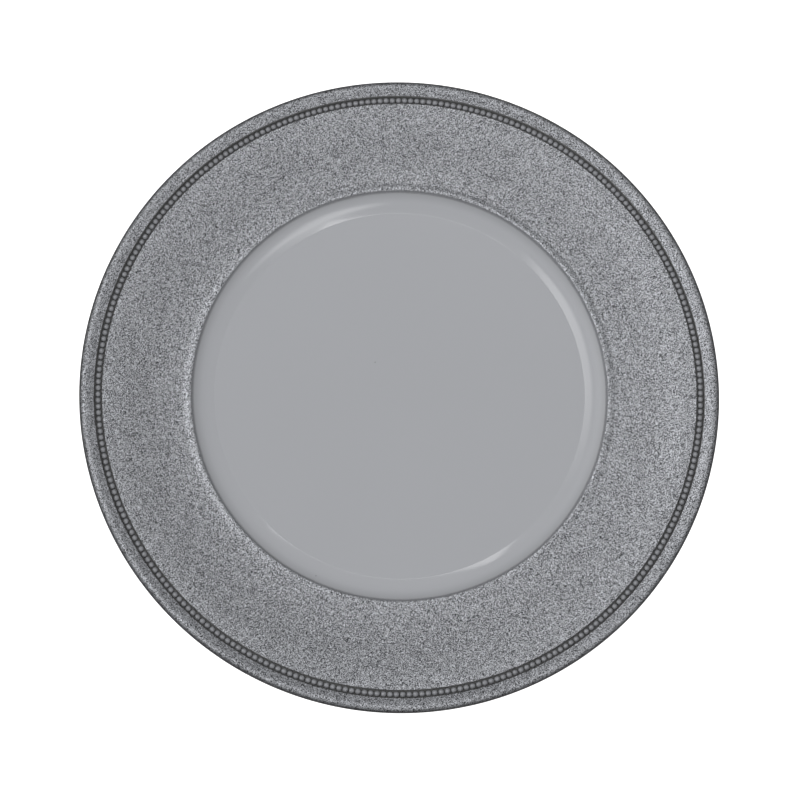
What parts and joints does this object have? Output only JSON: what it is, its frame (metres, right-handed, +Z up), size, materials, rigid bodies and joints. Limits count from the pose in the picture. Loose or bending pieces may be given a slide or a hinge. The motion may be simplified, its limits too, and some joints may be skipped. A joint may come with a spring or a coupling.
{
  "type": "charger plate",
  "caption": "Round charger plate with a glossy shallow well, a wide sloping glitter flange, a course of small beads in a channel and a rounded lip. It stands under a dinner plate.",
  "frame": {"origin": "centre of the plate, on the plane that the foot ring stands on", "axes": "+Z up along the plate's axis of symmetry, +X to the right and +Y away from the viewer"},
  "size_m": [0.33, 0.33, 0.0183],
  "materials": {
    "blank_plastic": "moulded grey plastic, satin",
    "well_lacquer": "smooth cool grey lacquer, high gloss",
    "glitter": "fine silver-grey glitter flakes in clear resin",
    "band": "dark grey, matte",
    "beads": "smooth silver-grey, satin metallic"
  },
  "bodies": {
    "root": {"plate_blank": "blank_plastic", "well_lacquer": "well_lacquer", "flange_glitter": "glitter", "lip_glitter": "glitter", "bead_band": "band", "bead_course": "beads"}
  },
  "joints": []
}
